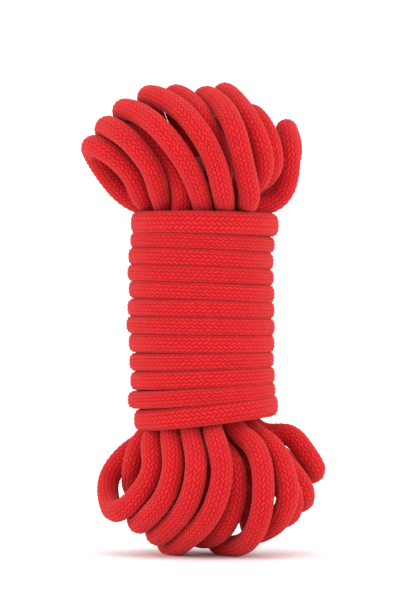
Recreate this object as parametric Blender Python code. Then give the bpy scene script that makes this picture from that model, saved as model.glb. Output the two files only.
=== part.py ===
"""A hank of soft braided cotton rope, standing upright on its lower loops.

One 5 m rope is folded up and down into a bundle.  Twelve turns of the same rope bind the
bundle round its waist, so that its folds fan out as loops above and below.  Both ends of the
rope are whipped with twine and tucked into the hollows of the two fans.

Every free stretch of the rope is a tube of its own, and the strands inside the binding are one
solid.  Stretches that follow each other meet face to face.
Frame: metres, +Z up along the hank, +X to its right, the camera side at -Y, floor at z = 0.
"""
import math

import bmesh
import bpy
import numpy as np

# Rope
ROPE_DIAMETER = 0.0070
STRAND_GAP = 0.0003         # between pieces that touch on the real hank
FOOT_SQUEEZE = 0.0004       # how much thinner a strand is where the binding grips it
FOOT_TAPER = 0.010          # length over which a squeezed strand swells again
LAYOUT_ROPE = 0.0070        # the rope that the loops below were laid out for
LAYOUT_FAN_HEIGHT = 0.0413  # with that rope, the binding's lower edge above the floor

# Binding: turns of the same rope, pulled tight and so thinner than the free loops
TURN_COUNT = 12
TURN_SQUEEZE = 0.00186
BINDING_START_DEG = -150.0  # azimuth from the front, where the rope joins the binding
BINDING_END_DEG = 150.0     # where the last turn leaves it
CLIMB_HALF_DEG = 60.0       # each turn climbs to the next this far either side of the back
TURN_STEP_DEG = 20.0
TURN_END_DEG = 3.0          # a short first and last step, so that turns meet square

# Bundle inside the binding: a strand in the middle, 7 round it and 13 round those
OUTER_STRANDS = 13
INNER_STRANDS = 7
LOWER_MOUTH_DEPTH = 0.0030  # from the binding's lower edge up to the bundle's lower end
UPPER_MOUTH_DEPTH = 0.0024
LOWER_TWIST_DEG = 10.0      # how far the strands turn round the middle on their way down
BUNDLE_EDGE_ROUND = 0.0015
BUNDLE_SIDES = 48

# Whipping at each end of the rope: a sleeve of fine twine
WHIPPING_LENGTH = 0.0080
TWINE_THICKNESS = 0.0004
WHIPPING_SIDES = 16

# Tubes
POINT_SPACING = 0.0052
TUBE_BEVEL_RESOLUTION = 2

# Where the hank's axis stands, so that the origin is under the middle of its outline
AXIS_X = -0.0001
AXIS_Y = 0.0003

MM = 0.001

# Each loop: the foot where it leaves the bundle, the points it passes, the foot it returns to.
# Feet: ("outer", n) or ("inner", n) counts round from the front, ("centre", 0) is the middle.
# Points: millimetres right of, behind and above the hank's axis at the upper mouth.
UPPER_LOOPS = [
    (("outer", -3), [(-18.8, -7.3, 7.5), (-22, -13, 14), (-28.5, -13.3, 20.8),
                     (-34.3, -6.4, 23.9), (-34, 2.7, 20.9), (-29.1, 7.1, 13.6),
                     (-21.6, 6.6, 7.1)], ("outer", -4)),
    (("outer", -2), [(-13.7, -14.7, 9.1), (-16.5, -20.7, 17), (-23.4, -20.1, 25.4),
                     (-29.3, -10.9, 29.6), (-30.6, 1.2, 28), (-27.5, 11, 20.3),
                     (-19, 13.1, 10.5)], ("outer", -5)),
    (("outer", -1), [(-6.8, -15.4, 9.5), (-10.1, -16.2, 17.7), (-16.9, -15.2, 24.8),
                     (-21.4, -6.3, 28.9), (-20.6, 3.1, 22.6), (-14.8, 1.6, 11.9)], ("inner", -2)),
    (("outer", 0), [(-1.4, -20.3, 9.1), (-5, -25.4, 17), (-11.2, -26.4, 25.7),
                    (-18.3, -19.2, 32.4), (-24.6, -7.7, 35.2), (-24.2, 6.1, 32.1),
                    (-20.6, 15.4, 22.2), (-12.3, 18.1, 11.3)], ("outer", -6)),
    (("outer", 1), [(6, -20.8, 8.2), (3.6, -25.7, 17.6), (-1.9, -26.9, 28), (-8.9, -18.9, 35.7),
                    (-15.9, -7.3, 39.4), (-17, 6.9, 37.5), (-13.1, 14.2, 26.3),
                    (-10.5, 9.4, 13.4)], ("inner", -3)),
    (("inner", 0), [(4.4, -12.5, 10.9), (4.8, -17.7, 20.7), (0.3, -18.3, 31), (-4.8, -10.1, 37.6),
                    (-9.1, 1, 40.1), (-8.7, 12.8, 35.4), (-2.8, 15.5, 24.2),
                    (4.2, 11.4, 13.9)], ("inner", 3)),
    (("outer", 2), [(14, -17.5, 7.2), (12.4, -23.1, 16.6), (9.7, -25.5, 27.3), (5.6, -17.2, 35.5),
                    (0.8, -5.2, 39.3), (-0.3, 8.5, 36.4), (1.1, 19.9, 28.2),
                    (3.5, 19.4, 14.4)], ("outer", 6)),
    (("inner", 1), [(10, -6.3, 9.1), (16.2, -11.2, 12.5), (18.4, -16.8, 19.1),
                    (15.3, -17.7, 28.8), (10.9, -10.1, 36.3), (6.6, 0.6, 40.8), (6.7, 12, 36.1),
                    (8.2, 17.6, 25.2), (10.1, 15.3, 13.2)], ("outer", 5)),
    (("inner", 2), [(11.6, 0.6, 8.8), (17.8, -3.1, 13.1), (21.4, -9, 18.4), (19.6, -10.5, 27.3),
                    (15.7, -4.1, 33.4), (11.6, 5, 32.7), (8.2, 9.2, 23),
                    (4.9, 2.5, 13.1)], ("centre", 0)),
    (("outer", 3), [(22.7, 0.3, 7.5), (26.7, -1.5, 15.9), (26.7, -0.3, 24.8), (26.3, 7, 29.7),
                    (28, 13.5, 23.7), (25.3, 13.9, 14.6), (19.9, 10.6, 7.2)], ("outer", 4)),
]

# Points: millimetres right of and behind the hank's axis, and above the floor.
LOWER_LOOPS = [
    (("outer", -3), [(-16, -9.5, 35.8), (-15.9, -14.3, 27.9), (-20.5, -13.2, 19.4),
                     (-26.5, -6.9, 14.2), (-29.6, 2.6, 16.2), (-29.8, 9.5, 23.4),
                     (-24.4, 11.2, 31.1), (-17, 11.4, 36.2)], ("outer", -5)),
    (("outer", -2), [(-9.9, -14.6, 35.6), (-9.4, -19.2, 28.4), (-11.9, -19.6, 19.8),
                     (-16.6, -14.5, 13.5), (-20.2, -6.1, 10.5), (-19.9, 2.5, 15.2),
                     (-15.7, 3.8, 24.2), (-11, 1.1, 32.9)], ("inner", -2)),
    (("outer", -1), [(-3.1, -18.3, 35.6), (-2.3, -23.2, 28.4), (-4.2, -22.5, 19),
                     (-8.8, -16.3, 11.8), (-13.8, -7.3, 6.9), (-15.2, 4.5, 9.3),
                     (-14.7, 11, 19.8), (-9.5, 13.5, 30.8)], ("outer", -6)),
    (("outer", 0), [(3.9, -20.3, 36.4), (5.6, -24.1, 28.4), (4.1, -24.6, 19.1),
                    (0.1, -19.7, 11.4), (-4.8, -12.3, 6.3), (-8.5, -3.1, 3.1), (-11.6, 6.9, 3.6),
                    (-11.6, 13.9, 11.6), (-6.7, 12.6, 21.3), (-4.1, 8.4, 31.5)], ("inner", -3)),
    (("inner", 0), [(4.9, -11.9, 34.6), (9.4, -18.2, 28.4), (9.6, -18.2, 18.2), (6.1, -12.9, 9.4),
                    (0.9, -2.9, 5.7), (-4.3, 8.6, 7.2), (-3.1, 18.3, 16.4),
                    (-1.6, 19.2, 30)], ("outer", 6)),
    (("outer", 1), [(14.5, -17.1, 36), (18, -23.2, 28), (18, -23.4, 16.9), (15, -17.1, 7.3),
                    (9.8, -6.6, 3.2), (4.2, 5.3, 3.8), (3.2, 15.2, 13.7),
                    (3.5, 13, 28.4)], ("inner", 3)),
    (("outer", 2), [(18.9, -11.6, 36.5), (23.6, -18.2, 30.9), (25.9, -20.7, 21.5),
                    (23.8, -15.3, 12.9), (19.6, -6.4, 8.4), (15.8, 4, 7.1), (14.6, 14, 12),
                    (13.8, 17.6, 22.4), (10.2, 16.3, 32.7)], ("outer", 5)),
    (("inner", 1), [(9.9, -6.3, 35), (16.2, -9.7, 30.4), (23.1, -12.3, 26.4), (27.4, -11.3, 19.4),
                    (26.4, -5.8, 12.9), (21, 1.8, 12.4), (14.2, 7.7, 16.7), (7.5, 7.1, 24.6),
                    (3.3, 2.8, 33.2)], ("centre", 0)),
    (("inner", 2), [(11.6, 0.6, 34.6), (19.6, -3.8, 32.3), (26.8, -5.8, 27.1), (31.3, -2.6, 20.2),
                    (30.4, 5.4, 16.3), (25.5, 12.6, 19.5), (20.3, 15.3, 27),
                    (16.1, 13.3, 35.5)], ("outer", 4)),
]
START_FOOT = ("outer", 3)   # the first fold; the rope's start hangs in the lower hollow
START_POINTS = [(19.7, 2.5, 37.9), (26.7, 1.2, 37.5), (31.7, 0.2, 32.5), (35, 3.1, 26.9),
                (32.8, 9.7, 25.4), (26.5, 11.7, 29), (20.2, 8.1, 32), (12.8, 5.8, 29.8)]
LEAD_FOOT = ("outer", -4)   # the last strand comes out here and climbs into the binding
LEAD_POINTS = [(-19, 4.6, 35.9), (-22.2, 5.1, 27.7), (-22.2, 11.4, 20.5), (-17.4, 19.2, 15.4),
               (-7.8, 23.8, 12.5), (2.7, 26.4, 16), (5.8, 26.7, 27.4), (0.7, 25.2, 38.1)]
# From the last turn up into the upper hollow, heights above the upper mouth.
TAIL_POINTS = [(1.1, 22.5, 5.1), (-3.8, 19.4, 12.7), (-4.2, 10.2, 16.3), (-0.7, 1, 17.8),
               (3.5, -8, 17.5)]

END_STRAIGHT = 0.0016       # how far a strand goes straight on from either of its ends

LAYOUT_SCALE = ROPE_DIAMETER / LAYOUT_ROPE
LOOP_TUBE = ROPE_DIAMETER - STRAND_GAP
FOOT_TUBE = LOOP_TUBE - FOOT_SQUEEZE
TURN_TUBE = ROPE_DIAMETER - TURN_SQUEEZE
TURN_PITCH = TURN_TUBE + STRAND_GAP

OUTER_RING_RADIUS = ROPE_DIAMETER / (2 * math.sin(math.pi / OUTER_STRANDS))
INNER_RING_RADIUS = OUTER_RING_RADIUS - ROPE_DIAMETER
BUNDLE_RADIUS = OUTER_RING_RADIUS + FOOT_TUBE / 2 - STRAND_GAP
FACET_SHRINK = math.cos(math.radians(TURN_STEP_DEG / 2))
TURN_RADIUS = (OUTER_RING_RADIUS + (FOOT_TUBE + STRAND_GAP + TURN_TUBE) / 2) / FACET_SHRINK

BINDING_BOTTOM_Z = LAYOUT_FAN_HEIGHT * LAYOUT_SCALE
BINDING_TOP_Z = BINDING_BOTTOM_Z + TURN_COUNT * TURN_PITCH
LOWER_MOUTH_Z = BINDING_BOTTOM_Z + LOWER_MOUTH_DEPTH * LAYOUT_SCALE
UPPER_MOUTH_Z = BINDING_TOP_Z - UPPER_MOUTH_DEPTH * LAYOUT_SCALE


def on_circle(radius, degrees_from_front, z):
    angle = math.radians(degrees_from_front)
    return np.array([radius * math.sin(angle), -radius * math.cos(angle), z])


def foot_place(foot, z):
    """Where a strand leaves the bundle: on one of its two rings, or in the middle."""
    ring, number = foot
    twist = LOWER_TWIST_DEG if z == LOWER_MOUTH_Z else 0.0
    if ring == "outer":
        return on_circle(OUTER_RING_RADIUS, 360 / OUTER_STRANDS * number + twist, z)
    if ring == "inner":
        return on_circle(INNER_RING_RADIUS, 360 / INNER_STRANDS * number + twist, z)
    return np.array([0.0, 0.0, z])


def smooth_route(points):
    """A natural cubic spline through the points, read off at about POINT_SPACING.

    The second point and the last but one are kept, so that both ends start off straight.
    """
    points = np.array(points, float)
    count = len(points)
    span = np.linalg.norm(np.diff(points, axis=0), axis=1)
    at = np.concatenate([[0], np.cumsum(span)])
    slope = np.diff(points, axis=0) / span[:, None]
    system = np.eye(count)
    wanted = np.zeros((count, 3))
    for i in range(1, count - 1):
        system[i, i - 1:i + 2] = span[i - 1], 2 * (span[i - 1] + span[i]), span[i]
        wanted[i] = 6 * (slope[i] - slope[i - 1])
    bend = np.linalg.solve(system, wanted)
    read = np.linspace(0, at[-1], max(8, round(at[-1] / POINT_SPACING)))
    read = np.sort(np.append(read, [at[1], at[-2]]))
    piece = np.clip(np.searchsorted(at, read) - 1, 0, count - 2)
    after = (read - at[piece])[:, None]
    length = span[piece][:, None]
    before = length - after
    return (
        (bend[piece] * before**3 + bend[piece + 1] * after**3) / (6 * length)
        + (points[piece] / length - bend[piece] * length / 6) * before
        + (points[piece + 1] / length - bend[piece + 1] * length / 6) * after
    )


def cotton_material(name, colour, roughness):
    material = bpy.data.materials.new(name)
    material.use_nodes = True
    shader = material.node_tree.nodes["Principled BSDF"]
    shader.inputs["Base Color"].default_value = (*colour, 1)
    shader.inputs["Roughness"].default_value = roughness
    shader.inputs["Metallic"].default_value = 0
    return material


def add_object(name, data, material):
    data.materials.append(material)
    obj = bpy.data.objects.new(name, data)
    bpy.context.scene.collection.objects.link(obj)
    obj.parent = hank_axis
    return obj


def rope_tube(name, points, diameters):
    """A stretch of rope: a poly curve with a round bevel, filled caps and a diameter per point."""
    curve = bpy.data.curves.new(name, "CURVE")
    curve.dimensions = "3D"
    curve.bevel_depth = 0.5
    curve.bevel_resolution = TUBE_BEVEL_RESOLUTION
    curve.use_fill_caps = True
    spline = curve.splines.new("POLY")
    spline.points.add(len(points) - 1)
    for knot, place, diameter in zip(spline.points, points, diameters):
        knot.co = (*place, 1)
        knot.radius = diameter
    spline.use_smooth = True
    return add_object(name, curve, rope_cotton)


def swell(points, mouth_z):
    """Tube diameters along a loop: thin at the bundle's mouth, full size FOOT_TAPER away."""
    away = np.clip(np.abs(points[:, 2] - mouth_z) / FOOT_TAPER, 0, 1)
    return FOOT_TUBE + (LOOP_TUBE - FOOT_TUBE) * away


def lay(points, base_z):
    return [np.array([x, y, z]) * MM * LAYOUT_SCALE + [0, 0, base_z] for x, y, z in points]


def loop_points(start, points, end, mouth_z, up, base_z):
    """The route of a loop that leaves the bundle straight and comes back to it straight."""
    rise = np.array([0, 0, END_STRAIGHT * up])
    first = foot_place(start, mouth_z)
    last = foot_place(end, mouth_z)
    key = [first, first + rise, *lay(points, base_z), last + rise, last]
    return smooth_route(key)


def add_upper_loops():
    for number, (start, points, end) in enumerate(UPPER_LOOPS, 1):
        route = loop_points(start, points, end, UPPER_MOUTH_Z, 1, UPPER_MOUTH_Z)
        rope_tube(f"upper_loop_{number:02d}", route, swell(route, UPPER_MOUTH_Z))


def press_flat(obj):
    """Cuts a tube off at the floor and closes it: the rope is pressed flat where it stands."""
    mesh = bpy.data.meshes.new_from_object(obj.evaluated_get(bpy.context.evaluated_depsgraph_get()))
    shape = bmesh.new()
    shape.from_mesh(mesh)
    bmesh.ops.remove_doubles(shape, verts=shape.verts, dist=1e-6)
    parts = shape.verts[:] + shape.edges[:] + shape.faces[:]
    cut = bmesh.ops.bisect_plane(
        shape, geom=parts, plane_co=(0, 0, 0), plane_no=(0, 0, -1), clear_outer=True
    )
    rim = [part for part in cut["geom_cut"] if isinstance(part, bmesh.types.BMEdge)]
    if rim:
        bmesh.ops.holes_fill(shape, edges=rim)
    bmesh.ops.recalc_face_normals(shape, faces=shape.faces)
    shape.to_mesh(mesh)
    shape.free()
    name = obj.name
    bpy.data.objects.remove(obj)
    mesh.materials.clear()
    mesh.shade_smooth()
    mesh.set_sharp_from_angle(angle=math.radians(50))
    return add_object(name, mesh, rope_cotton)


def add_lower_loops():
    for number, (start, points, end) in enumerate(LOWER_LOOPS, 1):
        route = loop_points(start, points, end, LOWER_MOUTH_Z, -1, 0)
        tube = rope_tube(f"lower_loop_{number:02d}", route, swell(route, LOWER_MOUTH_Z))
        if (route[:, 2] < LOOP_TUBE / 2).any():
            press_flat(tube)


def binding_line(degrees):
    """The binding's centre line: level round the sides and front, climbing across the back."""
    degrees = np.asarray(degrees, float)
    lap = np.floor((degrees + 180) / 360)
    from_front = degrees - 360 * lap
    flat_to = 180 - CLIMB_HALF_DEG
    climb = np.interp(from_front, [-180, -flat_to, flat_to, 180], [-0.5, 0, 0, 0.5])
    turned = np.radians(degrees)
    x = TURN_RADIUS * np.sin(turned)
    y = -TURN_RADIUS * np.cos(turned)
    z = BINDING_BOTTOM_Z + (0.5 + lap + climb) * TURN_PITCH
    return np.stack([x, y, z], axis=-1)


def add_binding():
    finish = 360 * (TURN_COUNT - 1) + BINDING_END_DEG
    gap = math.degrees(STRAND_GAP / TURN_RADIUS)
    for number in range(TURN_COUNT):
        first = BINDING_START_DEG + 360 * number
        last = min(first + 360, finish)
        steps = round((last - first) / TURN_STEP_DEG)
        degrees = np.linspace(first, last, steps + 1)
        degrees = np.sort(np.append(degrees, [first + TURN_END_DEG, last - TURN_END_DEG]))
        degrees[-1] -= gap
        points = binding_line(degrees)
        rope_tube(f"binding_turn_{number + 1:02d}", points, np.full(len(points), TURN_TUBE))


def binding_join(degrees):
    """A point on the binding's centre line, and the direction in which the rope runs there."""
    here, on = binding_line([degrees, degrees + 1])
    return here, (on - here) / np.linalg.norm(on - here)


def narrow_to(diameters, join_diameter, count, at_end):
    """Eases the last few diameters of a stretch down to those of the binding that it joins."""
    ease = np.linspace(0, 1, count)
    if at_end:
        diameters[-count:] = diameters[-count:] * (1 - ease) + join_diameter * ease
    else:
        diameters[:count] = diameters[:count] * ease + join_diameter * (1 - ease)


def add_lead():
    """The last strand of the bundle, which loops down behind and up into the first turn."""
    foot = foot_place(LEAD_FOOT, LOWER_MOUTH_Z)
    joint, along = binding_join(BINDING_START_DEG)
    end = joint - along * STRAND_GAP
    key = [
        foot, foot - [0, 0, END_STRAIGHT], *lay(LEAD_POINTS, 0), end - along * END_STRAIGHT, end,
    ]
    route = smooth_route(key)
    diameters = swell(route, LOWER_MOUTH_Z)
    diameters[len(route) // 2:] = LOOP_TUBE
    narrow_to(diameters, TURN_TUBE, 5, at_end=True)
    rope_tube("binding_lead", route, diameters)


def whipping(name, end, before):
    """A sleeve of twine round the last of the rope: four rings, joined round into a closed wall."""
    along = (end - before) / np.linalg.norm(end - before)
    side = np.cross(along, [0, 0, 1])
    side /= np.linalg.norm(side)
    other = np.cross(along, side)
    inner = LOOP_TUBE / 2 - TWINE_THICKNESS
    rings = ((0, inner), (WHIPPING_LENGTH, inner), (WHIPPING_LENGTH, LOOP_TUBE / 2), (0, LOOP_TUBE / 2))
    turned = np.arange(WHIPPING_SIDES) * 2 * math.pi / WHIPPING_SIDES
    circle = np.cos(turned)[:, None] * side + np.sin(turned)[:, None] * other
    places = np.concatenate([end - along * back + circle * radius for back, radius in rings])
    faces = []
    for ring in range(4):
        for i in range(WHIPPING_SIDES):
            j = (i + 1) % WHIPPING_SIDES
            after = (ring + 1) % 4
            faces.append([ring * WHIPPING_SIDES + i, ring * WHIPPING_SIDES + j,
                          after * WHIPPING_SIDES + j, after * WHIPPING_SIDES + i])
    mesh = bpy.data.meshes.new(name)
    mesh.from_pydata([tuple(place) for place in places], [], faces)
    shape = bmesh.new()
    shape.from_mesh(mesh)
    bmesh.ops.recalc_face_normals(shape, faces=shape.faces)
    shape.to_mesh(mesh)
    shape.free()
    mesh.shade_smooth()
    mesh.set_sharp_from_angle(angle=math.radians(50))
    add_object(name, mesh, waxed_twine)


def whipped_end(route, diameters):
    """Straightens the last of a stretch and thins it to fit inside its whipping."""
    room = WHIPPING_LENGTH + STRAND_GAP
    travelled = np.concatenate([[0], np.cumsum(np.linalg.norm(np.diff(route, axis=0), axis=1))])
    keep = travelled < travelled[-1] - room - POINT_SPACING / 2
    along = route[-1] - route[keep][-1]
    along /= np.linalg.norm(along)
    inside = LOOP_TUBE - 2 * TWINE_THICKNESS - 2 * STRAND_GAP
    shoulder = route[-1] - along * room
    places = np.vstack([route[keep], shoulder - along * STRAND_GAP, shoulder, route[-1]])
    sizes = np.concatenate([diameters[keep], [LOOP_TUBE, inside, inside]])
    return places, sizes


def add_start():
    """The first fold of the rope, whose whipped end hangs in the hollow of the lower loops."""
    foot = foot_place(START_FOOT, LOWER_MOUTH_Z)
    key = [foot, foot - [0, 0, END_STRAIGHT], *lay(START_POINTS, 0)]
    route = smooth_route(key)
    places, sizes = whipped_end(route, swell(route, LOWER_MOUTH_Z))
    rope_tube("start_fold", places, sizes)
    whipping("start_whipping", places[-1], places[-2])


def add_tail():
    """The end of the rope, from the last turn into the hollow of the upper loops."""
    joint, along = binding_join(360 * (TURN_COUNT - 1) + BINDING_END_DEG)
    key = [joint, joint + along * END_STRAIGHT, *lay(TAIL_POINTS, UPPER_MOUTH_Z)]
    route = smooth_route(key)
    diameters = np.full(len(route), LOOP_TUBE)
    narrow_to(diameters, TURN_TUBE, 4, at_end=False)
    places, sizes = whipped_end(route, diameters)
    rope_tube("tail", places, sizes)
    whipping("tail_whipping", places[-1], places[-2])


def add_bundle():
    """The outer shape of the strands inside the binding: a round bar with eased ends."""
    bottom = LOWER_MOUTH_Z + STRAND_GAP
    top = UPPER_MOUTH_Z - STRAND_GAP
    shape = bmesh.new()
    bmesh.ops.create_cone(
        shape, cap_ends=True, segments=BUNDLE_SIDES,
        radius1=BUNDLE_RADIUS, radius2=BUNDLE_RADIUS, depth=top - bottom,
    )
    rims = [edge for edge in shape.edges if abs(edge.verts[0].co.z - edge.verts[1].co.z) < 1e-6]
    bmesh.ops.bevel(
        shape, geom=rims, offset=BUNDLE_EDGE_ROUND, segments=2, profile=0.5, affect="EDGES"
    )
    mesh = bpy.data.meshes.new("waist_bundle")
    shape.to_mesh(mesh)
    shape.free()
    mesh.shade_smooth()
    mesh.set_sharp_from_angle(angle=math.radians(40))
    bundle = add_object("waist_bundle", mesh, rope_cotton)
    bundle.location.z = (top + bottom) / 2


for leftover in list(bpy.data.objects):
    bpy.data.objects.remove(leftover)

hank_axis = bpy.data.objects.new("hank_axis", None)
bpy.context.scene.collection.objects.link(hank_axis)
hank_axis.location = (AXIS_X, AXIS_Y, 0)
rope_cotton = cotton_material("red_braided_cotton", (0.60, 0.016, 0.022), 0.85)
waxed_twine = cotton_material("red_waxed_twine", (0.42, 0.010, 0.014), 0.55)

add_bundle()
add_upper_loops()
add_lower_loops()
add_binding()
add_lead()
add_start()
add_tail()
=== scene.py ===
"""A lead rope of red braided cotton, tied in a hank that stands on its lower loops."""

import math

import bpy
import numpy as np
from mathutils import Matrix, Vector


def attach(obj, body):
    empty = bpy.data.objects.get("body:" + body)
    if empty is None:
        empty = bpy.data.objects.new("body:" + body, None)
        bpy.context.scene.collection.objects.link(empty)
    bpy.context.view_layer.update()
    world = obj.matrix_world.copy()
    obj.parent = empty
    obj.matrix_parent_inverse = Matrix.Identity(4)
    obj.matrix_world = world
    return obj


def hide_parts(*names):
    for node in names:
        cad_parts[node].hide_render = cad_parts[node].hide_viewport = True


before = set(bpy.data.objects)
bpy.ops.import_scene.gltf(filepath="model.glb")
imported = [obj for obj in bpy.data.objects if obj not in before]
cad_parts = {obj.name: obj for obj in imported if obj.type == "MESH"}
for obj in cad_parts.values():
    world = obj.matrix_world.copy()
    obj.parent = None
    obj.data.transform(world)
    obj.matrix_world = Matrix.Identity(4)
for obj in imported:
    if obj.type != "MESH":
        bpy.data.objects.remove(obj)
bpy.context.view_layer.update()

scene = bpy.context.scene

# ---------------------------------------------------------------------------------------------
# Camera: a long lens one metre in front of the hank and a little above the middle of its height,
# so that the turns above that level bow up a little at the front and those below bow down.
CAMERA_DISTANCE = 1.0
VIEW_HEIGHT = 0.1884        # how much of the hank's own plane the camera takes in
CAMERA_X = -0.0012
CAMERA_Z = 0.0800
SENSOR_HEIGHT = 24.0

camera_data = bpy.data.cameras.new("camera")
camera_data.sensor_fit = "VERTICAL"
camera_data.sensor_height = SENSOR_HEIGHT
camera_data.lens = SENSOR_HEIGHT * CAMERA_DISTANCE / VIEW_HEIGHT
camera = bpy.data.objects.new("camera", camera_data)
camera.location = (CAMERA_X, -CAMERA_DISTANCE, CAMERA_Z)
camera.rotation_euler = (math.pi / 2, 0, 0)
scene.collection.objects.link(camera)
scene.camera = camera

# ---------------------------------------------------------------------------------------------
# The rope's route.  One rope, 4.9 m of 7 mm soft cotton braid, is folded up and down into twenty
# strands, bound round the waist with twelve turns of itself, and its last end is tucked away.
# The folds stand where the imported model's loops do, so their points are the same ones.
MM = 0.001                                 # every size below is in millimetres
AXIS = np.array([-0.1, 0.3, 0.0])          # where the hank's own axis stands on the floor
ROPE_DIAMETER = 7.0
OUTER_STRANDS = 13
INNER_STRANDS = 7
OUTER_RING = ROPE_DIAMETER / (2 * math.sin(math.pi / OUTER_STRANDS))
INNER_RING = OUTER_RING - ROPE_DIAMETER
LOWER_MOUTH_Z = 44.3        # where the strands come out of the binding, and the upper end
UPPER_MOUTH_Z = 104.18
END_STRAIGHT = 1.6
LOWER_TWIST_DEG = 10.0      # how far the strands turn round the middle on their way down

# Each loop: the strand it starts on, the points it passes through, and the strand it ends on.
# Heights count from the upper mouth in an upper loop and the tail, and from the floor elsewhere.
UPPER_LOOPS = [
    (("outer", -3), [(-18.8, -7.3, 7.5), (-22, -13, 14), (-28.5, -13.3, 20.8),
                     (-34.3, -6.4, 23.9), (-34, 2.7, 20.9), (-29.1, 7.1, 13.6),
                     (-21.6, 6.6, 7.1)], ("outer", -4)),
    (("outer", -2), [(-13.7, -14.7, 9.1), (-16.5, -20.7, 17), (-23.4, -20.1, 25.4),
                     (-29.3, -10.9, 29.6), (-30.6, 1.2, 28), (-27.5, 11, 20.3),
                     (-19, 13.1, 10.5)], ("outer", -5)),
    (("outer", -1), [(-6.8, -15.4, 9.5), (-10.1, -16.2, 17.7), (-16.9, -15.2, 24.8),
                     (-21.4, -6.3, 28.9), (-20.6, 3.1, 22.6), (-14.8, 1.6, 11.9)], ("inner", -2)),
    (("outer", 0), [(-1.4, -20.3, 9.1), (-5, -25.4, 17), (-11.2, -26.4, 25.7),
                    (-18.3, -19.2, 32.4), (-24.6, -7.7, 35.2), (-24.2, 6.1, 32.1),
                    (-20.6, 15.4, 22.2), (-12.3, 18.1, 11.3)], ("outer", -6)),
    (("outer", 1), [(6, -20.8, 8.2), (3.6, -25.7, 17.6), (-1.9, -26.9, 28), (-8.9, -18.9, 35.7),
                    (-15.9, -7.3, 39.4), (-17, 6.9, 37.5), (-13.1, 14.2, 26.3),
                    (-10.5, 9.4, 13.4)], ("inner", -3)),
    (("inner", 0), [(4.4, -12.5, 10.9), (4.8, -17.7, 20.7), (0.3, -18.3, 31), (-4.8, -10.1, 37.6),
                    (-9.1, 1, 40.1), (-8.7, 12.8, 35.4), (-2.8, 15.5, 24.2),
                    (4.2, 11.4, 13.9)], ("inner", 3)),
    (("outer", 2), [(14, -17.5, 7.2), (12.4, -23.1, 16.6), (9.7, -25.5, 27.3), (5.6, -17.2, 35.5),
                    (0.8, -5.2, 39.3), (-0.3, 8.5, 36.4), (1.1, 19.9, 28.2),
                    (3.5, 19.4, 14.4)], ("outer", 6)),
    (("inner", 1), [(10, -6.3, 9.1), (16.2, -11.2, 12.5), (18.4, -16.8, 19.1),
                    (15.3, -17.7, 28.8), (10.9, -10.1, 36.3), (6.6, 0.6, 40.8), (6.7, 12, 36.1),
                    (8.2, 17.6, 25.2), (10.1, 15.3, 13.2)], ("outer", 5)),
    (("inner", 2), [(11.6, 0.6, 8.8), (17.8, -3.1, 13.1), (21.4, -9, 18.4), (19.6, -10.5, 27.3),
                    (15.7, -4.1, 33.4), (11.6, 5, 32.7), (8.2, 9.2, 23),
                    (4.9, 2.5, 13.1)], ("centre", 0)),
    (("outer", 3), [(22.7, 0.3, 7.5), (26.7, -1.5, 15.9), (26.7, -0.3, 24.8), (26.3, 7, 29.7),
                    (28, 13.5, 23.7), (25.3, 13.9, 14.6), (19.9, 10.6, 7.2)], ("outer", 4)),
]
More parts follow.
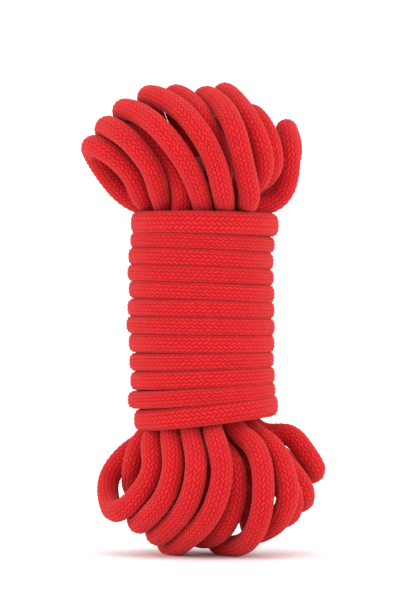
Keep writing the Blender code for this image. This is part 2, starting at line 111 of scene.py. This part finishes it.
LOWER_LOOPS = [
    (("outer", -3), [(-16, -9.5, 35.8), (-15.9, -14.3, 27.9), (-20.5, -13.2, 19.4),
                     (-26.5, -6.9, 14.2), (-29.6, 2.6, 16.2), (-29.8, 9.5, 23.4),
                     (-24.4, 11.2, 31.1), (-17, 11.4, 36.2)], ("outer", -5)),
    (("outer", -2), [(-9.9, -14.6, 35.6), (-9.4, -19.2, 28.4), (-11.9, -19.6, 19.8),
                     (-16.6, -14.5, 13.5), (-20.2, -6.1, 10.5), (-19.9, 2.5, 15.2),
                     (-15.7, 3.8, 24.2), (-11, 1.1, 32.9)], ("inner", -2)),
    (("outer", -1), [(-3.1, -18.3, 35.6), (-2.3, -23.2, 28.4), (-4.2, -22.5, 19),
                     (-8.8, -16.3, 11.8), (-13.8, -7.3, 6.9), (-15.2, 4.5, 9.3),
                     (-14.7, 11, 19.8), (-9.5, 13.5, 30.8)], ("outer", -6)),
    (("outer", 0), [(3.9, -20.3, 36.4), (5.6, -24.1, 28.4), (4.1, -24.6, 19.1),
                    (0.1, -19.7, 11.4), (-4.8, -12.3, 6.3), (-8.5, -3.1, 3.1), (-11.6, 6.9, 3.6),
                    (-11.6, 13.9, 11.6), (-6.7, 12.6, 21.3), (-4.1, 8.4, 31.5)], ("inner", -3)),
    (("inner", 0), [(4.9, -11.9, 34.6), (9.4, -18.2, 28.4), (9.6, -18.2, 18.2), (6.1, -12.9, 9.4),
                    (0.9, -2.9, 5.7), (-4.3, 8.6, 7.2), (-3.1, 18.3, 16.4),
                    (-1.6, 19.2, 30)], ("outer", 6)),
    (("outer", 1), [(14.5, -17.1, 36), (18, -23.2, 28), (18, -23.4, 16.9), (15, -17.1, 7.3),
                    (9.8, -6.6, 3.2), (4.2, 5.3, 3.8), (3.2, 15.2, 13.7),
                    (3.5, 13, 28.4)], ("inner", 3)),
    (("outer", 2), [(18.9, -11.6, 36.5), (23.6, -18.2, 30.9), (25.9, -20.7, 21.5),
                    (23.8, -15.3, 12.9), (19.6, -6.4, 8.4), (15.8, 4, 7.1), (14.6, 14, 12),
                    (13.8, 17.6, 22.4), (10.2, 16.3, 32.7)], ("outer", 5)),
    (("inner", 1), [(9.9, -6.3, 35), (16.2, -9.7, 30.4), (23.1, -12.3, 26.4), (27.4, -11.3, 19.4),
                    (26.4, -5.8, 12.9), (21, 1.8, 12.4), (14.2, 7.7, 16.7), (7.5, 7.1, 24.6),
                    (3.3, 2.8, 33.2)], ("centre", 0)),
    (("inner", 2), [(11.6, 0.6, 34.6), (19.6, -3.8, 32.3), (26.8, -5.8, 27.1), (31.3, -2.6, 20.2),
                    (30.4, 5.4, 16.3), (25.5, 12.6, 19.5), (20.3, 15.3, 27),
                    (16.1, 13.3, 35.5)], ("outer", 4)),
]
START_FOOT = ("outer", 3)
START_POINTS = [(19.7, 2.5, 37.9), (26.7, 1.2, 37.5), (31.7, 0.2, 32.5), (35, 3.1, 26.9),
                (32.8, 9.7, 25.4), (26.5, 11.7, 29), (20.2, 8.1, 32), (12.8, 5.8, 29.8)]
LEAD_FOOT = ("outer", -4)
LEAD_POINTS = [(-19, 4.6, 35.9), (-22.2, 5.1, 27.7), (-22.2, 11.4, 20.5), (-17.4, 19.2, 15.4),
               (-7.8, 23.8, 12.5), (2.7, 26.4, 16), (5.8, 26.7, 27.4), (0.7, 25.2, 38.1)]
TAIL_POINTS = [(1.1, 22.5, 5.1), (-3.8, 19.4, 12.7), (-4.2, 10.2, 16.3), (-0.7, 1, 17.8),
               (3.5, -8, 17.5)]

# Each turn of the binding, from the lowest: the height of its middle at the front, how tall it
# is there, how much higher its right end is than that, how far right of the axis it is centred,
# and how far it stands out from there.  The two end turns are looser, and so taller.
BINDING_TURNS = [
    (44.7, 6.4, 2.3, 0.8, 22.7),
    (50.2, 5.0, 1.5, -0.6, 23.3),
    (55.5, 5.6, 0.8, -0.3, 22.8),
    (61.0, 5.3, 0.4, -0.6, 22.8),
    (66.5, 5.7, -0.2, -0.6, 23.0),
    (71.9, 5.3, -0.4, -0.9, 23.4),
    (77.2, 5.4, -0.4, -0.8, 23.2),
    (82.6, 5.5, -0.8, -0.6, 23.0),
    (87.8, 5.1, -0.8, -0.9, 23.1),
    (92.9, 5.5, -0.8, -0.8, 22.9),
    (98.0, 4.9, -0.7, -0.3, 22.8),
    (103.8, 6.8, -0.3, 0.4, 23.3),
]
BELOW_FIRST = 5.6           # the lead comes up into the first turn from this far under it
ABOVE_LAST = 6.4            # and the tail leaves the last turn for this far over it
BINDING_START_DEG = -150
BINDING_END_DEG = 150
KEY_STEP_DEG = 20

FREE_HALF = 3.5             # half the rope's width where nothing squeezes it
GRIPPED_HALF = 3.2
TURN_OVERLAP = 0.30         # how far neighbouring turns press into each other
FLATTENED = 2.80            # a turn's half thickness, out from the axis


def foot_place(foot, z):
    """Where a strand stands in the bundle: on the outer ring, the inner ring or the middle, at
    its share of a full turn, and turned by its share of the twist on its way down."""
    ring, number = foot
    radius = {"outer": OUTER_RING, "inner": INNER_RING, "centre": 0}[ring]
    strands = {"outer": OUTER_STRANDS, "inner": INNER_STRANDS, "centre": 1}[ring]
    down = (UPPER_MOUTH_Z - z) / (UPPER_MOUTH_Z - LOWER_MOUTH_Z)
    twist = math.radians(LOWER_TWIST_DEG) * min(max(down, 0), 1)
    angle = 2 * math.pi * number / strands + twist
    return (radius * math.sin(angle), -radius * math.cos(angle), z)


def loop_keys(start, points, end, mouth_z, up, base_z):
    """Key points of a loop: straight out of one foot, through its points, raised by base_z, and
    straight into the other foot."""
    feet = [foot_place(start, mouth_z), foot_place(end, mouth_z)]
    leads = [(x, y, z + up * END_STRAIGHT) for x, y, z in feet]
    between = [(x, y, z + base_z) for x, y, z in points]
    return [feet[0], leads[0], *between, leads[1], feet[1]]


def binding_keys():
    """Key points of the binding, with half the rope's height at each.

    A turn rises by its own slope times the sine of the azimuth across the front half, and eases
    into the next turn's height over the back half, by s*s*(3 - 2s) of the way round it.
    """
    turns = np.array(BINDING_TURNS)
    below = turns[0] - [BELOW_FIRST, 0, 0, 0, 0]
    above = turns[-1] + [ABOVE_LAST, 0, 0, 0, 0]
    turns = np.vstack([below, turns, above])
    last = 360 * (len(BINDING_TURNS) - 1) + BINDING_END_DEG
    degrees = np.arange(BINDING_START_DEG, last + 1, KEY_STEP_DEG)
    lap = np.floor((degrees + 90) / 360).astype(int)
    round_back = np.clip((degrees - 360 * lap - 90) / 180, 0, 1)
    ease = (round_back**2 * (3 - 2 * round_back))[:, None]
    turn = turns[lap + 1]
    following = turns[np.minimum(lap + 2, len(turns) - 1)]
    between = turn * (1 - ease) + following * ease
    azimuth = np.radians(degrees)
    front_z = turn[:, 0] + turn[:, 2] * np.sin(azimuth)
    right_end = turn[:, 0] + turn[:, 2]
    left_end = following[:, 0] - following[:, 2]
    back_z = right_end + (left_end - right_end) * ease[:, 0]
    z = np.where(round_back > 0, back_z, front_z)
    radius = between[:, 4] - FLATTENED
    x = between[:, 3] + radius * np.sin(azimuth)
    y = -radius * np.cos(azimuth)
    return np.stack([x, y, z], axis=1), between[:, 1] / 2 + TURN_OVERLAP


def whole_route():
    """The rope's key points in order, its half width and its half thickness at each, the places
    to part it into pieces, and the CAD nodes that each piece stands for."""
    keys = []
    halves = []
    cuts = []
    stands_for = []

    def add_fold(points):
        """A fold's points: free along it, and gripped at the two nearest each end."""
        keys.extend(points)
        free = [FREE_HALF] * (len(points) - 4)
        halves.extend([GRIPPED_HALF] * 2 + free + [GRIPPED_HALF] * 2)

    def add_strand(foot, low_to_high):
        """A strand through the binding, at three even heights.  Gives its middle point."""
        heights = np.linspace(LOWER_MOUTH_Z, UPPER_MOUTH_Z, 5)[1:-1]
        if not low_to_high:
            heights = heights[::-1]
        keys.extend(foot_place(foot, z) for z in heights)
        halves.extend([GRIPPED_HALF] * 3)
        return len(keys) - 2

    upper_from = {start: (number, points, end)
                  for number, (start, points, end) in enumerate(UPPER_LOOPS, 1)}
    lower_from = {end: (number, points[::-1], start)
                  for number, (start, points, end) in enumerate(LOWER_LOOPS, 1)}
    foot = START_FOOT
    start_fold = loop_keys(foot, START_POINTS, foot, LOWER_MOUTH_Z, -1, 0)[:-2][::-1]
    keys.extend(start_fold)
    halves.extend([FREE_HALF] * (len(start_fold) - 2) + [GRIPPED_HALF] * 2)
    nodes = ["start_fold"]
    while True:
        add_strand(foot, True)
        here = foot
        number, points, foot = upper_from[here]
        nodes.append(f"upper_loop_{number:02d}")
        add_fold(loop_keys(here, points, foot, UPPER_MOUTH_Z, 1, UPPER_MOUTH_Z))
        cuts.append(add_strand(foot, False))
        stands_for.append(nodes)
        if foot == LEAD_FOOT:
            break
        here = foot
        number, points, foot = lower_from[here]
        nodes = [f"lower_loop_{number:02d}"]
        add_fold(loop_keys(here, points, foot, LOWER_MOUTH_Z, -1, 0))
    lead = loop_keys(foot, LEAD_POINTS, foot, LOWER_MOUTH_Z, -1, 0)[:-2]
    keys.extend(lead)
    halves.extend([GRIPPED_HALF] * 2 + [FREE_HALF] * (len(lead) - 2))
    thick = list(halves)
    turns, tall = binding_keys()
    cuts.append(len(keys) + len(turns) // 2)
    keys.extend(turns)
    halves.extend(tall)
    thick.extend([FLATTENED] * len(turns))
    tail = [(x, y, z + UPPER_MOUTH_Z) for x, y, z in TAIL_POINTS]
    keys.extend(tail)
    halves.extend([FREE_HALF] * len(tail))
    thick.extend([FREE_HALF] * len(tail))
    turn_names = [f"binding_turn_{n:02d}" for n in range(1, len(BINDING_TURNS) + 1)]
    stands_for.append(["binding_lead", *turn_names[:6]])
    stands_for.append([*turn_names[6:], "tail"])
    return np.array(keys, float), np.array(halves), np.array(thick), cuts, stands_for


def spline_through(keys):
    """A natural cubic spline: on each span the second derivative runs straight from the bend at
    one key to the bend at the next, and is nought at both ends of the rope."""
    span = np.linalg.norm(np.diff(keys, axis=0), axis=1)
    at = np.concatenate([[0], np.cumsum(span)])
    slope = np.diff(keys, axis=0) / span[:, None]
    inside = 2 * (span[:-1] + span[1:])
    system = np.diag(np.concatenate([[1], inside, [1]]))
    system += np.diag(np.concatenate([span[:-1], [0]]), -1)
    system += np.diag(np.concatenate([[0], span[1:]]), 1)
    wanted = np.zeros_like(keys)
    wanted[1:-1] = 6 * np.diff(slope, axis=0)
    bend = np.linalg.solve(system, wanted)

    def read(places):
        """The rope's points at these distances along its keys: on each span a cubic of the
        distances before and after, from the bend and the place of the key at each end."""
        piece = np.clip(np.searchsorted(at, places) - 1, 0, len(span) - 1)
        after = (places - at[piece])[:, None]
        length = span[piece][:, None]
        before = length - after
        return (
            (bend[piece] * before**3 + bend[piece + 1] * after**3) / (6 * length)
            + (keys[piece] / length - bend[piece] * length / 6) * before
            + (keys[piece + 1] / length - bend[piece + 1] * length / 6) * after
        )

    return at, read


# ---------------------------------------------------------------------------------------------
# The braid.  Thirty-two strands of dyed cotton, sixteen winding each way, pass over two and
# under two on a braiding machine, so that each shows as a short pillow between two dives, and
# the pillows stand in columns of V shapes along the rope.
STRANDS_EACH_WAY = 16
V_PITCH = 1.60              # one V to the next along the rope
DIVISIONS = 2               # mesh points across one strand
RELIEF = 0.28               # how far a pillow stands above the dips round it
ROW_STEP = V_PITCH / (2 * DIVISIONS)
MEASURING_STEP = 0.1        # the spline's length is added up in steps of about this
ROUND = 2                   # the power in the rope's outline that makes it round
SQUARER = 0.7               # what is added to that power where the binding presses it
BLENDED_ROWS = 41           # rows over which one outline turns into the other
FLOOR_GAP = 0.02            # a resting loop is pressed flat this far over the floor

keys, half_wide, half_thick, cuts, stands_for = whole_route()
keys += AXIS
at, read = spline_through(keys)
fine = np.linspace(0, at[-1], int(at[-1] / MEASURING_STEP))
fine_steps = np.linalg.norm(np.diff(read(fine), axis=0), axis=1)
fine_length = np.concatenate([[0], np.cumsum(fine_steps)])
row_count = int(fine_length[-1] / ROW_STEP) + 1
row_place = np.interp(np.arange(row_count) * ROW_STEP, fine_length, fine)
centres = read(row_place)
row_wide = np.interp(row_place, at, half_wide)
row_thick = np.interp(row_place, at, half_thick)
pressed = row_thick < (FLATTENED + GRIPPED_HALF) / 2
row_square = ROUND + SQUARER * pressed
row_square = np.convolve(row_square, np.full(BLENDED_ROWS, 1 / BLENDED_ROWS), "same")
row_square[:BLENDED_ROWS] = row_square[-BLENDED_ROWS:] = ROUND
cut_rows = np.searchsorted(row_place, at[cuts])


def carried_frame(centres):
    """Two directions across the rope that follow its bends without spinning about it: a cross
    product with one fixed direction, turned back by the running sum of its own spin."""
    along = np.gradient(centres, axis=0)
    along /= np.linalg.norm(along, axis=1)[:, None]
    first = np.cross(along, [0.31, 0.42, 0.85])
    first /= np.linalg.norm(first, axis=1)[:, None]
    second = np.cross(along, first)
    spin = np.arctan2((second[:-1] * first[1:]).sum(1), (first[:-1] * first[1:]).sum(1))
    back = -np.concatenate([[0], np.cumsum(spin)])[:, None]
    side = np.cos(back) * first + np.sin(back) * second
    return side, np.cross(along, side)


side, other = carried_frame(centres)


def pillow_height(a, b):
    """Height of the braid where strand a of one winding crosses strand b of the other.

    Across a strand the height falls off as one minus the square of twice the distance from its
    middle line.  Along it, a pillow is two crossings long, and falls off as the distance from
    its middle to the power 2.5.  The pillows of the second winding are two crossings on.
    """
    def one_winding(across, along):
        """One minus (2 across) squared, times one minus along to the power 2.5."""
        along = (along + 2) % 4 - 2
        rounded = 1 - (2 * (across - np.round(across))) ** 2
        return rounded * np.clip(1 - np.abs(along) ** 2.5, 0, 1)

    first = one_winding(a, np.round(a) - b - 0.5)
    second = one_winding(b, a - np.round(b) - 2.5)
    return np.maximum(first, second)


def rope_surface(rows, share, height):
    """Points of the rope's surface in some rows, at a share of the way round it.

    The outline is one over the n-th root of p to the n plus q to the n, times the half width: p
    is how much of the direction points away from the hank's axis, and q is how much doesn't.
    The part that points away from the axis is then thinned to the half thickness, the dips of
    the braid are sunk by the relief, and the floor stops what would pass through it.
    """
    angle = (2 * math.pi * share)[..., None]
    outward = np.cos(angle) * side[rows][:, None] + np.sin(angle) * other[rows][:, None]
    centre = centres[rows][:, None]
    from_axis = (centre - AXIS) * [1, 1, 0]
    from_axis /= np.maximum(np.linalg.norm(from_axis, axis=2), 0.01)[..., None]
    out_share = (outward * from_axis).sum(2)
    squareness = row_square[rows][:, None]
    rest = np.sqrt(np.clip(1 - out_share**2, 0, 1))
    boxy = (np.abs(out_share) ** squareness + rest**squareness) ** (-1 / squareness)
    thinner = (row_thick / row_wide)[rows][:, None] - 1
    flattened = outward + (thinner * out_share)[..., None] * from_axis
    reach = boxy * row_wide[rows][:, None] - RELIEF * (1 - height)
    places = centre + flattened * reach[..., None]
    places[..., 2] = np.maximum(places[..., 2], FLOOR_GAP)
    return places


def strand_places(a, b):
    """Each diamond's corners as places on the strand that shows there: how far across it, and
    how far along it, both in strand widths."""
    unit = 1 / DIVISIONS
    over = (np.round(a + unit / 2) - np.round(b + unit / 2)) % 4 < 1.5
    corner_a = np.stack([a, a + unit, a + unit, a], axis=-1)
    corner_b = np.stack([b, b, b + unit, b + unit], axis=-1)
    across = np.where(over[..., None], corner_a, corner_b)
    along = np.where(over[..., None], corner_b, corner_a)
    return np.stack([across, along], axis=-1).reshape(-1, 2)


def end_cap(ring, beside, parity, middle, flip):
    """Faces that close one end: a tooth from each two points of the last row to the point
    between them in the row beside it, and a fan from the last row to its middle."""
    step_on = np.roll(ring, -1)
    between = beside[(np.arange(len(ring)) + parity) % len(ring)]
    teeth = np.stack([ring, step_on, between], axis=-1)
    fan = np.stack([step_on, ring, np.full(len(ring), middle)], axis=-1)
    faces = np.vstack([teeth, fan])
    return faces[:, ::-1] if flip else faces


def braided_piece(name, first_row, last_row):
    """The rope's surface from one row to another, as a mesh of diamonds whose sides follow the
    strands: each row is turned by half a step from the row before it.  A strand of the first
    winding is numbered by the share of the way round plus the steps along, and one of the
    second by the steps along minus that share."""
    rows = np.arange(first_row, last_row + 1)
    count = STRANDS_EACH_WAY * DIVISIONS
    odd = rows % 2
    share = (np.arange(count) + odd[:, None] / 2) / count
    step = rows[:, None] / (2 * DIVISIONS)
    a = STRANDS_EACH_WAY * share + step
    b = step - STRANDS_EACH_WAY * share
    height = pillow_height(a, b)
    places = rope_surface(rows, share, height)

    index = np.arange(len(rows) * count).reshape(len(rows), count)
    k = np.arange(count)
    shift = odd[:-2, None]
    right = np.take_along_axis(index[1:-1], (k + shift) % count, axis=1)
    left = np.take_along_axis(index[1:-1], (k - 1 + shift) % count, axis=1)
    diamonds = np.stack([index[:-2], right, index[2:], left], axis=-1).reshape(-1, 4)
    near_middle = len(rows) * count
    ends = np.vstack([
        end_cap(index[0], index[1], odd[0], near_middle, False),
        end_cap(index[-1], index[-2], odd[-1], near_middle + 1, True),
    ])

    points = np.vstack([places.reshape(-1, 3), centres[first_row], centres[last_row]]) * MM
    loops = np.concatenate([diamonds.ravel(), ends.ravel()])
    totals = np.concatenate([np.full(len(diamonds), 4), np.full(len(ends), 3)])
    mesh = bpy.data.meshes.new(name)
    mesh.vertices.add(len(points))
    mesh.vertices.foreach_set("co", points.ravel())
    mesh.loops.add(len(loops))
    mesh.loops.foreach_set("vertex_index", loops)
    mesh.polygons.add(len(totals))
    mesh.polygons.foreach_set("loop_start", np.concatenate([[0], np.cumsum(totals)[:-1]]))
    mesh.polygons.foreach_set("use_smooth", np.ones(len(totals), bool))
    strand_uv = strand_places(a[:-2], b[:-2])
    uv = np.zeros((len(loops), 2), np.float32)
    uv[:len(strand_uv)] = strand_uv
    mesh.uv_layers.new(name="strand").data.foreach_set("uv", uv.ravel())
    # The pillow heights are kept on the mesh so that the material can paint shade into the braid's
    # dips.
    raised = np.concatenate([height.ravel(), [0, 0]]).astype(np.float32)
    mesh.attributes.new("raised", "FLOAT", "POINT").data.foreach_set("value", raised)
    mesh.update(calc_edges=True)
    mesh.validate()
    piece = bpy.data.objects.new(name, mesh)
    scene.collection.objects.link(piece)
    return piece


def linear(hex_colour):
    """The linear colour of an sRGB hex value."""
    value = np.array([int(hex_colour[i:i + 2], 16) for i in (1, 3, 5)]) / 255
    return (*np.where(value <= 0.04045, value / 12.92, ((value + 0.055) / 1.055) ** 2.4), 1)


def add_node(tree, kind, settings=None, links=None):
    """A node with its settings, and with its inputs set from values or linked from sockets."""
    node = tree.nodes.new(kind)
    for name, value in (settings or {}).items():
        setattr(node, name, value)
    for socket, value in (links or {}).items():
        if isinstance(value, bpy.types.NodeSocket):
            tree.links.new(value, node.inputs[socket])
        else:
            node.inputs[socket].default_value = value
    return node


# The strand map's unit is one strand's width, 1.0 mm, so each of its three threads is 0.35 mm.
# Cotton fibres, about 0.015 mm, are too fine to show, and are drawn 0.17 mm wide and longer.
THREADS_PER_STRAND = 3
FIBRES_PER_STRAND = (6.0, 1.4, 1.0)
# Painted shade: the darker red given to the dips between the pillows, where shade falls.
DIP_SHADE_COLOUR = "#B0060A"
PILLOW_COLOUR = "#D6222A"
FUZZ_COLOUR = "#FFB4AC"


def braided_cotton():
    """Dyed cotton braid: matt soft fibres, three threads to a strand, with painted shade: a darker
    red where the strands dive into the braid's dips.
    """
    material = bpy.data.materials.new("dyed_cotton_braid")
    material.use_nodes = True
    tree = material.node_tree
    shader = tree.nodes["Principled BSDF"]
    uv = add_node(tree, "ShaderNodeUVMap", {"uv_map": "strand"})
    parts = add_node(tree, "ShaderNodeSeparateXYZ", links={0: uv.outputs["UV"]})
    raised = add_node(tree, "ShaderNodeAttribute", {"attribute_name": "raised"})
    threads = add_node(tree, "ShaderNodeMath", {"operation": "MULTIPLY"},
                       {0: parts.outputs["X"], 1: 2 * math.pi * THREADS_PER_STRAND})
    thread_wave = add_node(tree, "ShaderNodeMath", {"operation": "COSINE"},
                           {0: threads.outputs[0]})
    fibres_at = add_node(tree, "ShaderNodeVectorMath", {"operation": "MULTIPLY"},
                         {0: uv.outputs["UV"], 1: FIBRES_PER_STRAND})
    fibres = add_node(tree, "ShaderNodeTexNoise", links={
        "Vector": fibres_at.outputs[0], "Scale": 1.0, "Detail": 3.0, "Roughness": 0.65})
    strand_place = add_node(tree, "ShaderNodeVectorMath", {"operation": "ADD"},
                            {0: uv.outputs["UV"], 1: (0.5, 0.5, 0)})
    strand_number = add_node(tree, "ShaderNodeVectorMath", {"operation": "FLOOR"},
                             {0: strand_place.outputs[0]})
    strand_tone = add_node(tree, "ShaderNodeTexWhiteNoise", {"noise_dimensions": "2D"},
                           {"Vector": strand_number.outputs[0]})
    fibre_tone = add_node(tree, "ShaderNodeMapRange", links={
        "Value": fibres.outputs["Fac"], "From Min": 0.3, "From Max": 0.7,
        "To Min": 0.90, "To Max": 1.09})
    tone = add_node(tree, "ShaderNodeMapRange", links={
        "Value": strand_tone.outputs["Value"], "To Min": 0.92, "To Max": 1.07})
    both = add_node(tree, "ShaderNodeMath", {"operation": "MULTIPLY"},
                    {0: fibre_tone.outputs["Result"], 1: tone.outputs["Result"]})
    # Painted shade: the lower the braid's surface, the more of the dips' darker red it gets, in
    # place of the shade that falls there.
    dip_shade = add_node(tree, "ShaderNodeMapRange", {"interpolation_type": "SMOOTHSTEP"}, {
        "Value": raised.outputs["Fac"], "From Min": -0.05, "From Max": 0.55})
    colour = add_node(tree, "ShaderNodeMix", {"data_type": "RGBA"}, {
        "Factor": dip_shade.outputs["Result"], 6: linear(DIP_SHADE_COLOUR), 7: linear(PILLOW_COLOUR)})
    toned = add_node(tree, "ShaderNodeVectorMath", {"operation": "SCALE"}, {
        0: colour.outputs[2], "Scale": both.outputs[0]})
    bump_height = add_node(tree, "ShaderNodeMath", {"operation": "MULTIPLY_ADD"}, {
        0: thread_wave.outputs[0], 1: 0.30, 2: fibres.outputs["Fac"]})
    bump = add_node(tree, "ShaderNodeBump", links={
        "Height": bump_height.outputs[0], "Distance": 0.00016, "Strength": 0.8})
    tree.links.new(toned.outputs[0], shader.inputs["Base Color"])
    tree.links.new(bump.outputs["Normal"], shader.inputs["Normal"])
    shader.inputs["Roughness"].default_value = 0.9
    shader.inputs["Specular IOR Level"].default_value = 0.2
    shader.inputs["Sheen Weight"].default_value = 0.2
    shader.inputs["Sheen Roughness"].default_value = 0.45
    shader.inputs["Sheen Tint"].default_value = linear(FUZZ_COLOUR)
    return material


cotton = braided_cotton()
edges = [0, *cut_rows, row_count - 1]
for number, (first_row, last_row) in enumerate(zip(edges[:-1], edges[1:]), 1):
    piece = braided_piece(f"rope_{number:02d}", first_row, last_row)
    piece.data.materials.append(cotton)
    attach(piece, "root")
    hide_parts("waist_bundle", *stands_for[number - 1])

# ---------------------------------------------------------------------------------------------
# Whippings: fine waxed twine, dyed near the rope's red and wound tightly by hand round the last
# few millimetres of each end, so that the braid can't open.
WHIPPING_LENGTH = 8.0
TWINE = 0.4                 # the twine's diameter, and how far one turn climbs
TWINE_SUNK = 0.1            # how far the twine bites into the braid
SLEEVE_DEPTH = 0.6          # how far under the braid's surface the sleeve of twine ends
POINTS_ROUND = 48
TWINE_COLOUR = "#B01820"

twine = bpy.data.materials.new("waxed_twine")
twine.use_nodes = True
twine.node_tree.nodes["Principled BSDF"].inputs["Base Color"].default_value = linear(TWINE_COLOUR)


def whipping(name, end_row, inward):
    """A sleeve of wound twine.  Its outside stands out by half a circle, one twine wide, over
    each turn, and the turns climb by one twine's diameter on the way round the rope."""
    rows = end_row + inward * np.arange(int(WHIPPING_LENGTH / ROW_STEP) + 1)
    path = centres[rows]
    turned = 2 * math.pi * np.arange(POINTS_ROUND) / POINTS_ROUND
    around = (np.cos(turned)[None, :, None] * side[rows][:, None]
              + np.sin(turned)[None, :, None] * other[rows][:, None])
    travelled = np.arange(len(rows)) * ROW_STEP
    wind = (travelled[:, None] / TWINE - turned[None] / (2 * math.pi)) % 1
    half_circle = np.sqrt(np.clip(1 - (2 * wind - 1) ** 2, 0, 1))
    reach = FREE_HALF - TWINE_SUNK + 0.5 * TWINE * half_circle
    outer = path[:, None] + around * reach[..., None]
    inner = path[:, None] + around * (FREE_HALF - SLEEVE_DEPTH)
    grid = np.concatenate([outer, inner[::-1]])
    index = np.arange(len(grid) * POINTS_ROUND).reshape(len(grid), POINTS_ROUND)
    down = np.roll(index, -1, axis=0)
    faces = np.stack(
        [index, np.roll(index, -1, axis=1), np.roll(down, -1, axis=1), down], axis=-1)
    faces = faces.reshape(-1, 4)
    if inward < 0:
        faces = faces[:, ::-1]
    mesh = bpy.data.meshes.new(name)
    mesh.from_pydata((grid.reshape(-1, 3) * MM).tolist(), [], faces.tolist())
    mesh.shade_smooth()
    mesh.materials.append(twine)
    piece = bpy.data.objects.new(name + "_twine", mesh)
    scene.collection.objects.link(piece)
    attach(piece, "root")
    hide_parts(name)


whipping("start_whipping", 0, 1)
whipping("tail_whipping", row_count - 1, -1)

# ---------------------------------------------------------------------------------------------
# Studio: a sheet of white paper that lies flat and sweeps up behind the hank, and three large
# soft boxes, one at each side and one overhead, in an even white surround.
SWEEP_HALF_WIDTH = 3.0
SWEEP_FRONT = -3.0
SWEEP_BEND_Y = 1.5
SWEEP_BEND_RADIUS = 1.0
SWEEP_TOP = 3.0
SURROUND_STRENGTH = 1.1
LIT_HEIGHT = 0.075          # the soft boxes face the middle of the hank

bend = np.radians(np.arange(0, 91, 6))
profile = np.vstack([
    [[SWEEP_FRONT, 0.0]],
    np.stack([SWEEP_BEND_Y + SWEEP_BEND_RADIUS * np.sin(bend),
              SWEEP_BEND_RADIUS - SWEEP_BEND_RADIUS * np.cos(bend)], axis=1),
    [[SWEEP_BEND_Y + SWEEP_BEND_RADIUS, SWEEP_TOP]],
])
across = np.repeat([-SWEEP_HALF_WIDTH, SWEEP_HALF_WIDTH], len(profile))
sweep = np.stack([across, np.tile(profile[:, 0], 2), np.tile(profile[:, 1], 2)], axis=1)
n = len(profile)
sweep_faces = [(i, n + i, n + i + 1, i + 1) for i in range(n - 1)]
sweep_mesh = bpy.data.meshes.new("paper_sweep")
sweep_mesh.from_pydata(sweep.tolist(), [], sweep_faces)
sweep_mesh.shade_smooth()
paper = bpy.data.materials.new("white_paper")
paper.use_nodes = True
paper_shader = paper.node_tree.nodes["Principled BSDF"]
paper_shader.inputs["Base Color"].default_value = linear("#FFFFFF")
paper_shader.inputs["Roughness"].default_value = 1.0
sweep_mesh.materials.append(paper)
floor = bpy.data.objects.new("paper_sweep", sweep_mesh)
scene.collection.objects.link(floor)

world = bpy.data.worlds.new("studio")
world.use_nodes = True
surround = world.node_tree.nodes["Background"]
surround.inputs["Color"].default_value = linear("#FFFFFF")
surround.inputs["Strength"].default_value = SURROUND_STRENGTH
scene.world = world


def soft_light(name, place, size, power):
    """A soft box of a width and a height, turned to face the middle of the hank."""
    data = bpy.data.lights.new(name, "AREA")
    data.shape = "RECTANGLE"
    data.size, data.size_y = size
    data.energy = power
    light = bpy.data.objects.new(name, data)
    light.location = place
    to_hank = Vector((-place[0], -place[1], LIT_HEIGHT - place[2]))
    light.rotation_euler = to_hank.to_track_quat("-Z", "Y").to_euler()
    scene.collection.objects.link(light)


soft_light("left_box", (-0.9, -0.5, 0.35), (0.6, 0.9), 4.2)
soft_light("right_box", (0.9, -0.45, 0.35), (0.6, 0.9), 4.2)
soft_light("top_box", (0.0, -0.2, 1.1), (0.9, 0.7), 2.2)
scene.view_settings.view_transform = "Standard"
